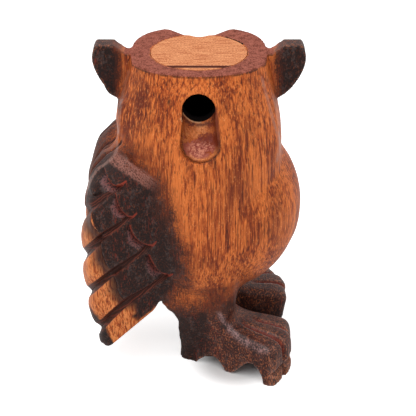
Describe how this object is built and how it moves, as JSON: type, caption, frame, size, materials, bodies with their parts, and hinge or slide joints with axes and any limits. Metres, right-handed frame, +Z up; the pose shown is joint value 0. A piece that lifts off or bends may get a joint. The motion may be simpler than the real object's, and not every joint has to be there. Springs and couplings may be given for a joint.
{
  "type": "bird call",
  "caption": "Carved wooden owl that works as a whistle: blown at the kerf in the flat head top, with a sound window and ramp behind the head and a closed hollow inside.",
  "frame": {"origin": "on the ground under the middle of the bounding box", "axes": "+X where the breast faces, +Y where the turned head faces, +Z up along the bore"},
  "size_m": [0.0658, 0.05, 0.1024],
  "materials": {
    "carved_wood": "oiled, partly burnt dark",
    "plug_wood": "sawn, matt"
  },
  "bodies": {
    "root": {"owl_body": "carved_wood", "fipple_plug": "plug_wood", "windway_slip": "plug_wood"}
  },
  "joints": []
}
